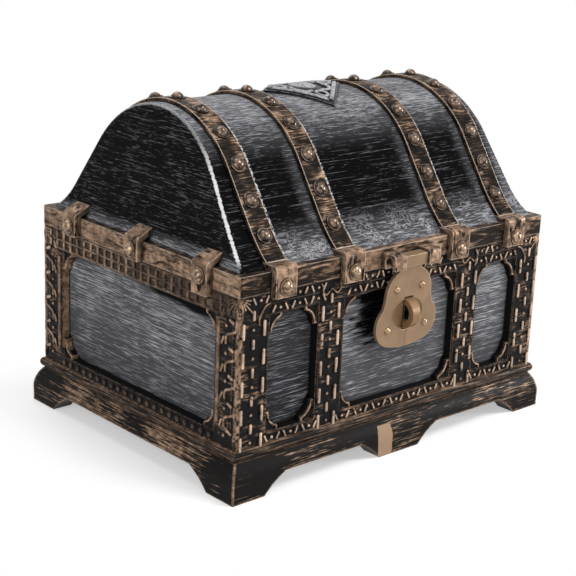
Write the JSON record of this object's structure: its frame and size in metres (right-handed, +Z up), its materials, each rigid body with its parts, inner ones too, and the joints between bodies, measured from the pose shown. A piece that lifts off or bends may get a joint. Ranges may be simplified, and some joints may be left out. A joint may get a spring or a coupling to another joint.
{
  "type": "treasure chest box",
  "caption": "Barrel-lidded treasure chest in brushed black with bronze straps, studs and relief frames; the lid and the front hasp swing open.",
  "frame": {"origin": "on the floor, under the middle of the chest's box", "axes": "+X along the front to the right as seen from the front, -Y towards the front with the hasp, +Z up"},
  "size_m": [0.2114, 0.1703, 0.1681],
  "materials": {
    "brushed_black": "black with silver-grey dry-brush streaks, semi-gloss",
    "relief_bronze_black": "black with bronze rubbed over the raised relief",
    "bronze_trim": "bronze paint over black, brushed and worn",
    "plinth_bronze_black": "black with bronze streaks along the grain",
    "tan_gold": "plain tan gold, satin",
    "pin_steel": "plain"
  },
  "bodies": {
    "base": {"back_frame": "relief_bronze_black", "front_frame": "relief_bronze_black", "hinge_base_leaf_left": "bronze_trim", "hinge_base_leaf_right": "bronze_trim", "hinge_pin_left": "pin_steel", "hinge_pin_right": "pin_steel", "hinge_screws_base": "bronze_trim", "left_frame": "relief_bronze_black", "lock_staple": "tan_gold", "plinth_back": "plinth_bronze_black", "plinth_front": "plinth_bronze_black", "plinth_left": "plinth_bronze_black", "plinth_right": "plinth_bronze_black", "right_frame": "relief_bronze_black", "tub": "brushed_black", "waist_bead": "plinth_bronze_black"},
    "lid": {"clamp_back_left_inner": "bronze_trim", "clamp_back_left_outer": "bronze_trim", "clamp_back_right_inner": "bronze_trim", "clamp_back_right_outer": "bronze_trim", "clamp_front_left_inner": "bronze_trim", "clamp_front_left_outer": "bronze_trim", "clamp_front_right_inner": "bronze_trim", "clamp_front_right_outer": "bronze_trim", "clamp_left_front": "bronze_trim", "clamp_left_middle": "bronze_trim", "clamp_left_rear": "bronze_trim", "clamp_right_front": "bronze_trim", "clamp_right_middle": "bronze_trim", "clamp_right_rear": "bronze_trim", "clamp_studs_back": "bronze_trim", "clamp_studs_front": "bronze_trim", "clamp_studs_left": "bronze_trim", "clamp_studs_right": "bronze_trim", "crest": "brushed_black", "hasp_lug_left": "bronze_trim", "hasp_lug_right": "bronze_trim", "hinge_lid_leaf_left": "bronze_trim", "hinge_lid_leaf_right": "bronze_trim", "hinge_screws_lid": "bronze_trim", "lid_shell": "brushed_black", "rim": "bronze_trim", "strap_left_inner": "bronze_trim", "strap_left_outer": "bronze_trim", "strap_right_inner": "bronze_trim", "strap_right_outer": "bronze_trim", "strap_studs_left_inner": "bronze_trim", "strap_studs_left_outer": "bronze_trim", "strap_studs_right_inner": "bronze_trim", "strap_studs_right_outer": "bronze_trim"},
    "hasp": {"hasp_plate": "tan_gold", "hasp_rivets": "tan_gold"}
  },
  "joints": [
    {"name": "lid_hinge", "type": "hinge", "parent": "base", "child": "lid", "pos_m": [0, 0.0817, 0.09315], "axis": [-1, 0, 0], "range_deg": [0, 105]},
    {"name": "hasp_swing", "type": "hinge", "parent": "lid", "child": "hasp", "pos_m": [0, -0.0807, 0.0965], "axis": [-1, 0, 0], "range_deg": [0, 170]}
  ]
}
